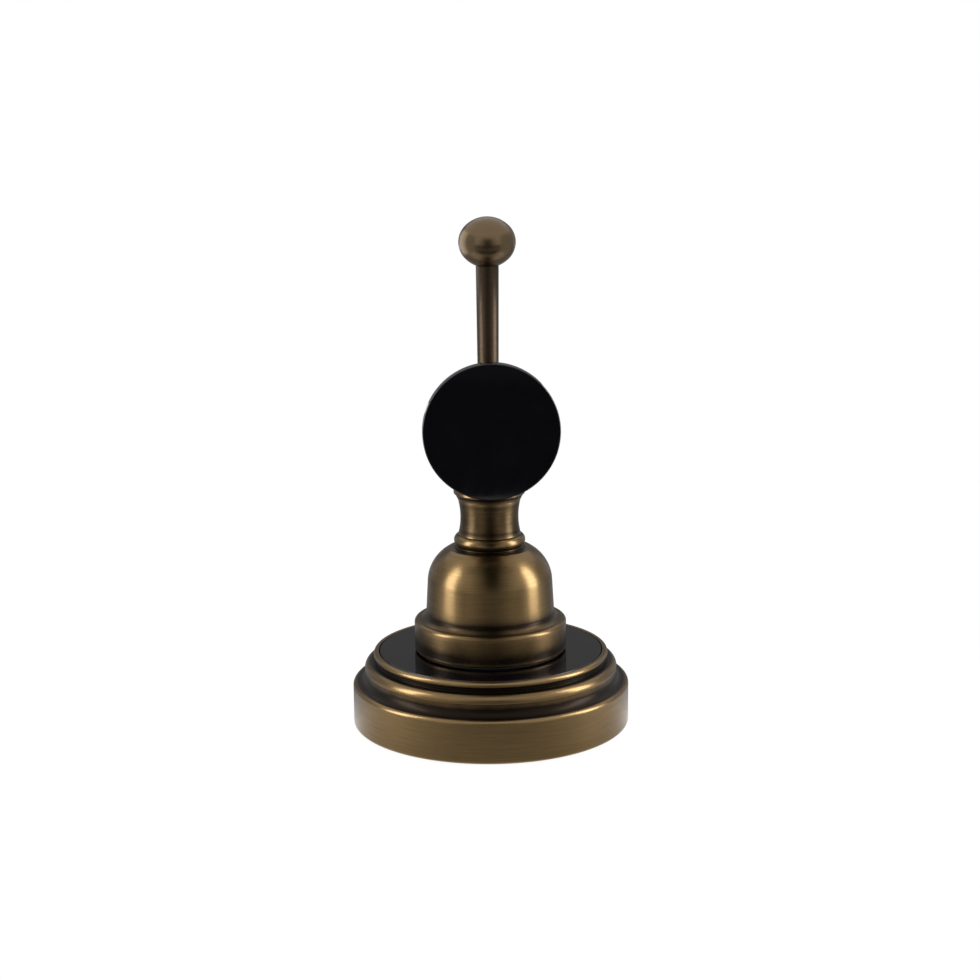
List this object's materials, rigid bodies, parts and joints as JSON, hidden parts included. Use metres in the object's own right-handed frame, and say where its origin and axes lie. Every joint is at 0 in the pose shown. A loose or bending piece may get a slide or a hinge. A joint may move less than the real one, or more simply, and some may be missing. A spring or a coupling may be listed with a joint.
{
  "type": "robe hook",
  "caption": "Turned antique-brass robe hook: stepped wall rose with a black glass ring, domed bell, beaded neck, round black glass disc and a slim peg ending in a flattened ball.",
  "frame": {"origin": "centre of the rose's underside, which is the wall face", "axes": "+Z along the post, away from the wall; the black disc faces -Y; the grub screw is at +Y"},
  "size_m": [0.06, 0.06, 0.1092],
  "materials": {
    "antique_brass": "brushed antique brass, dark patina in the coves, worn bright edges",
    "black_glass": "opaque glossy black glass",
    "zinc_steel": "zinc-plated steel",
    "dark_steel": "blackened steel",
    "black_rubber": "matte rubber sheet"
  },
  "bodies": {
    "bracket": {"wall_bracket": "zinc_steel"},
    "hook": {"rose": "antique_brass", "inlay_cushion": "black_rubber", "inlay_ring": "black_glass", "bell_gasket": "black_rubber", "bell": "antique_brass", "lower_collar": "antique_brass", "neck": "antique_brass", "upper_collar": "antique_brass", "tie_rod": "zinc_steel", "tie_washer": "zinc_steel", "tie_lock_washer": "dark_steel", "tie_nut": "zinc_steel", "head_ball": "antique_brass", "disc_backplate": "antique_brass", "backplate_screw": "dark_steel", "front_disc": "black_glass", "peg_rod": "antique_brass", "peg_ball": "antique_brass"},
    "grub_screw": {"rose_grub_screw": "dark_steel"}
  },
  "joints": [
    {"name": "hook_lift", "type": "slide", "parent": "bracket", "child": "hook", "axis": [0, 0, 1], "range_m": [0, 0.02]},
    {"name": "grub_release", "type": "slide", "parent": "hook", "child": "grub_screw", "axis": [0, 1, 0], "range_m": [0, 0.002]}
  ]
}
